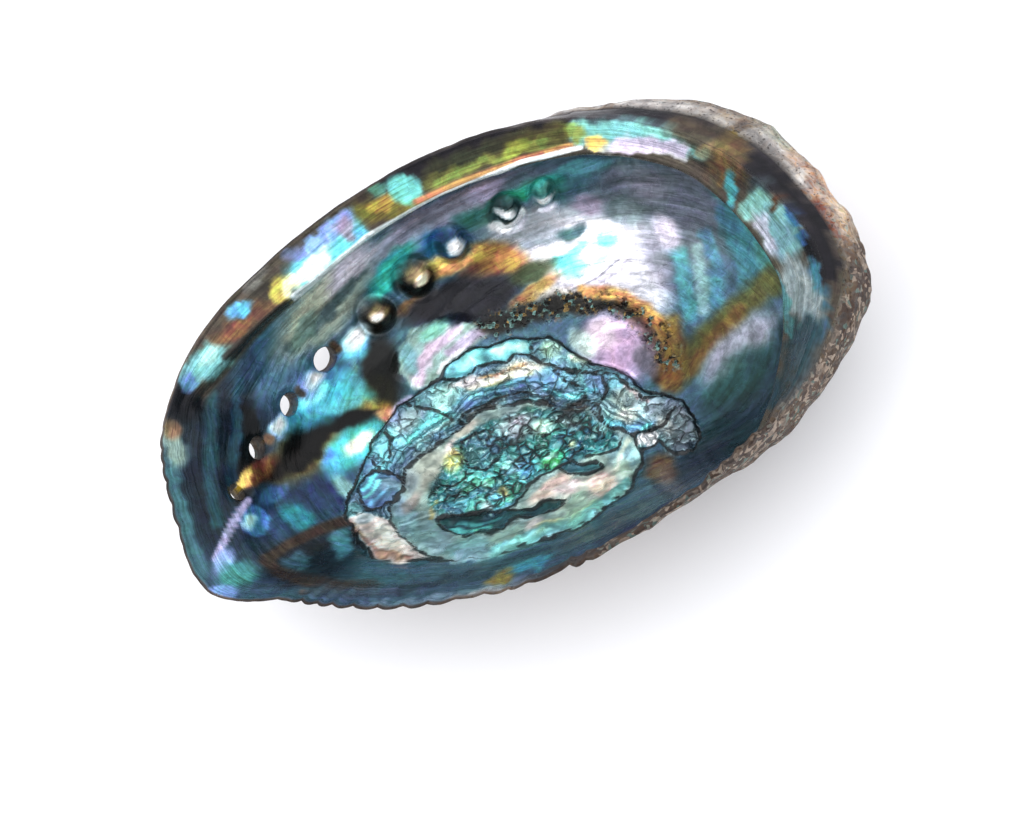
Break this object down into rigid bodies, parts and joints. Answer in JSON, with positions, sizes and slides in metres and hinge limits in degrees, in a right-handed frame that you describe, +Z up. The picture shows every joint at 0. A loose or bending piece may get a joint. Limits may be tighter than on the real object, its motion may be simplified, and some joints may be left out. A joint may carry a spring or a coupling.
{
  "type": "abalone shell",
  "caption": "Abalone shell on its back: nacre bowl with a muscle scar, a broad inner shelf, a row of pores and a crusted outside with a low spire.",
  "frame": {"origin": "middle of the shell's box seen from above, at the height of the worn flat it rests on", "axes": "+X towards the spire end, +Y towards the inner shelf and the row of pores, +Z up out of the bowl"},
  "size_m": [0.171, 0.1124, 0.0461],
  "materials": {
    "nacre": "polished"
  },
  "bodies": {
    "root": {"shell": "nacre"}
  },
  "joints": []
}
